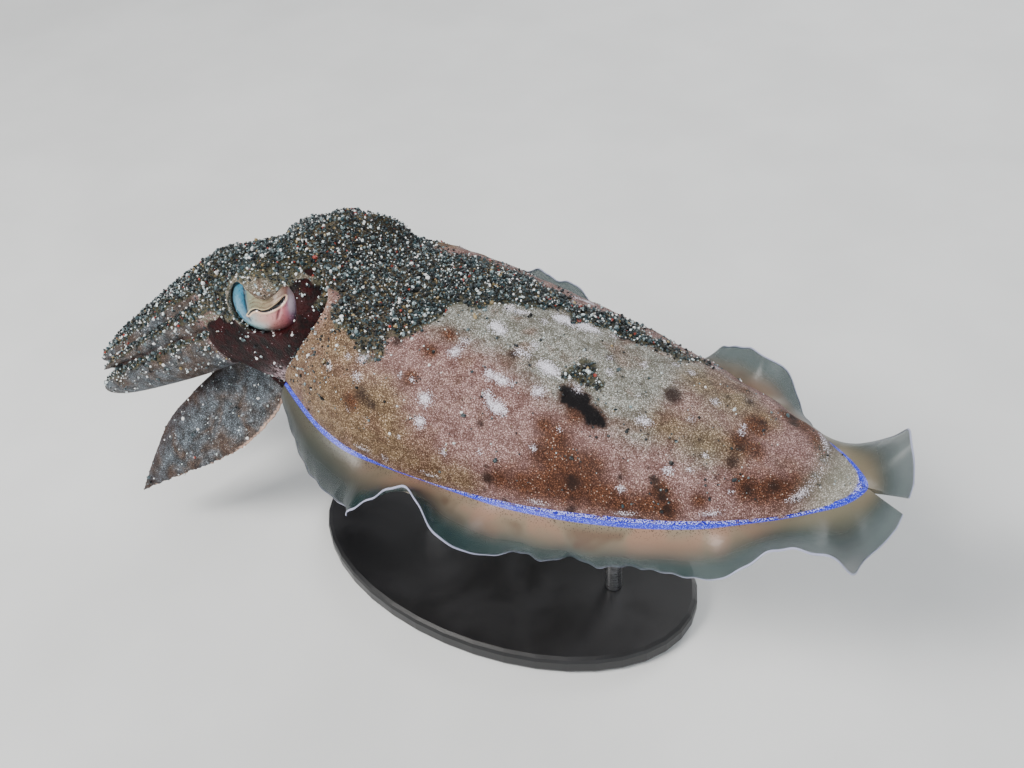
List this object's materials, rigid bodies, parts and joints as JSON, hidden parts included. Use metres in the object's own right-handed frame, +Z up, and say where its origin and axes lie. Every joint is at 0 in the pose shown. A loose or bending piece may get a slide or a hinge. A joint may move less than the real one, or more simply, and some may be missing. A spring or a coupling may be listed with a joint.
{
  "type": "pharaoh cuttlefish",
  "caption": "Pharaoh cuttlefish at life size, hovering level with rippled fins and drooping arms, held over a plain display stand.",
  "frame": {"origin": "centre of the display stand's flat underside", "axes": "+Z up; the head faces -X, the tail +X; the animal's left side faces -Y"},
  "size_m": [0.1976, 0.0839, 0.0886],
  "materials": {
    "mantle_skin": "moist skin, mottled pinkish beige and brown with pale and dark spots, dusted with dark sand along the back",
    "head_skin": "moist skin, olive brown above under dark sand, wine red on the cheek",
    "arm_skin": "moist grey brown skin with bluish white mottling",
    "siphon_skin": "smooth pale skin",
    "fin": "thin translucent membrane, milky at its root",
    "eye": "glossy, iridescent pink and pale blue with a black wavy pupil",
    "lip": "soft moist skin",
    "stand_base": "satin black",
    "stand_rod": "fine brushed"
  },
  "bodies": {
    "root": {"mantle": "mantle_skin", "head": "head_skin", "eye_left": "eye", "eye_right": "eye", "siphon": "siphon_skin", "mouth": "lip", "fin_left": "fin", "fin_right": "fin", "arm_1_left": "arm_skin", "arm_1_right": "arm_skin", "arm_2_left": "arm_skin", "arm_2_right": "arm_skin", "arm_3_left": "arm_skin", "arm_3_right": "arm_skin", "arm_4_left": "arm_skin", "arm_4_right": "arm_skin", "stand_base": "stand_base", "stand_rod_front": "stand_rod", "stand_rod_rear": "stand_rod"}
  },
  "joints": []
}
